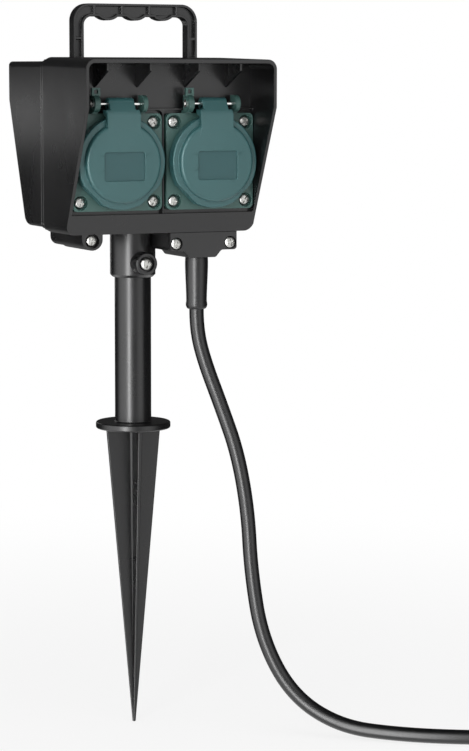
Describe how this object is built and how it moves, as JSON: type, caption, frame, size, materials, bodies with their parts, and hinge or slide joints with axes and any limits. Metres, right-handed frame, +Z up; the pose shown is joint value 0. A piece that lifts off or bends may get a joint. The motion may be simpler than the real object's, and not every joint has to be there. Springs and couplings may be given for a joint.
{
  "type": "garden socket spike",
  "caption": "Outdoor mains socket on a ground spike: hooded splash-proof housing with hinged lids, carrying handle, soil plate and rubber lead.",
  "frame": {"origin": "on the pole's axis, at the underside of the soil plate, where the ground's surface comes", "axes": "+Z up along the pole, the sockets face -Y, +X is to the right of someone who faces the sockets"},
  "size_m": [0.3958, 0.2204, 0.428],
  "materials": {
    "black_plastic": "satin, moulded",
    "green_lid_plastic": "satin, moulded",
    "green_flange_plastic": "satin, moulded",
    "zinc_steel": "bright zinc plated",
    "bright_steel": "bright",
    "seal_rubber": "soft, dull",
    "cord_rubber": "dull",
    "carrier_plastic": "dull",
    "shutter_plastic": "dull",
    "nickel_brass": "nickel washed, bright",
    "brown_insulation": "smooth",
    "blue_insulation": "smooth",
    "green_yellow_insulation": "smooth"
  },
  "bodies": {
    "spike": {"ground_spike": "black_plastic"},
    "clamp_screw": {"clamp_screw": "zinc_steel"},
    "left_lid": {"left_lid": "green_lid_plastic", "left_lid_seal": "seal_rubber"},
    "right_lid": {"right_lid": "green_lid_plastic", "right_lid_seal": "seal_rubber"},
    "left_shutter": {"left_shutter": "shutter_plastic"},
    "right_shutter": {"right_shutter": "shutter_plastic"},
    "housing": {"cable_boot": "cord_rubber", "cable_clamp": "black_plastic", "cable_clamp_screws": "zinc_steel", "cable_cover": "black_plastic", "carry_handle": "black_plastic", "clamp_nut": "zinc_steel", "cord": "cord_rubber", "cord_coil": "cord_rubber", "cover_screw": "zinc_steel", "earth_wires": "green_yellow_insulation", "front_housing": "black_plastic", "housing_screws": "zinc_steel", "housing_seal": "seal_rubber", "inner_cable": "cord_rubber", "left_base_screw": "zinc_steel", "left_contact_base": "carrier_plastic", "left_earth_clip": "nickel_brass", "left_flange_gasket": "seal_rubber", "left_flange_screws": "zinc_steel", "left_hinge_pin": "bright_steel", "left_lid_spring": "bright_steel", "left_pin_sleeves": "nickel_brass", "left_socket_body": "green_flange_plastic", "live_wires": "brown_insulation", "neutral_wires": "blue_insulation", "plug_body": "cord_rubber", "plug_earth_contacts": "nickel_brass", "plug_pins": "nickel_brass", "pole_socket": "black_plastic", "pole_socket_screws": "zinc_steel", "rear_housing": "black_plastic", "right_base_screw": "zinc_steel", "right_contact_base": "carrier_plastic", "right_earth_clip": "nickel_brass", "right_flange_gasket": "seal_rubber", "right_flange_screws": "zinc_steel", "right_hinge_pin": "bright_steel", "right_lid_spring": "bright_steel", "right_pin_sleeves": "nickel_brass", "right_socket_body": "green_flange_plastic"}
  },
  "joints": [
    {"name": "housing_swivel", "type": "hinge", "parent": "spike", "child": "housing", "pos_m": [0, 0, 0.1], "axis": [0, 0, 1], "continuous": true},
    {"name": "clamp_screw_turn", "type": "hinge", "parent": "housing", "child": "clamp_screw", "pos_m": [0, -0.016, 0.0988], "axis": [0, -1, 0], "range_deg": [0, 720]},
    {"name": "left_lid_hinge", "type": "hinge", "parent": "housing", "child": "left_lid", "pos_m": [-0.02887, -0.049, 0.192], "axis": [-1, 0, 0], "range_deg": [0, 110], "stiffness_Nm_per_rad": 0.03, "springref_deg": -28.65},
    {"name": "left_shutter_turn", "type": "hinge", "parent": "housing", "child": "left_shutter", "pos_m": [-0.02887, -0.031, 0.159], "axis": [0, 1, 0], "range_deg": [0, 38], "stiffness_Nm_per_rad": 0.0005, "springref_deg": -11.46},
    {"name": "right_lid_hinge", "type": "hinge", "parent": "housing", "child": "right_lid", "pos_m": [0.02887, -0.049, 0.192], "axis": [-1, 0, 0], "range_deg": [0, 110], "stiffness_Nm_per_rad": 0.03, "springref_deg": -28.65},
    {"name": "right_shutter_turn", "type": "hinge", "parent": "housing", "child": "right_shutter", "pos_m": [0.02887, -0.031, 0.159], "axis": [0, 1, 0], "range_deg": [0, 38], "stiffness_Nm_per_rad": 0.0005, "springref_deg": -11.46}
  ]
}
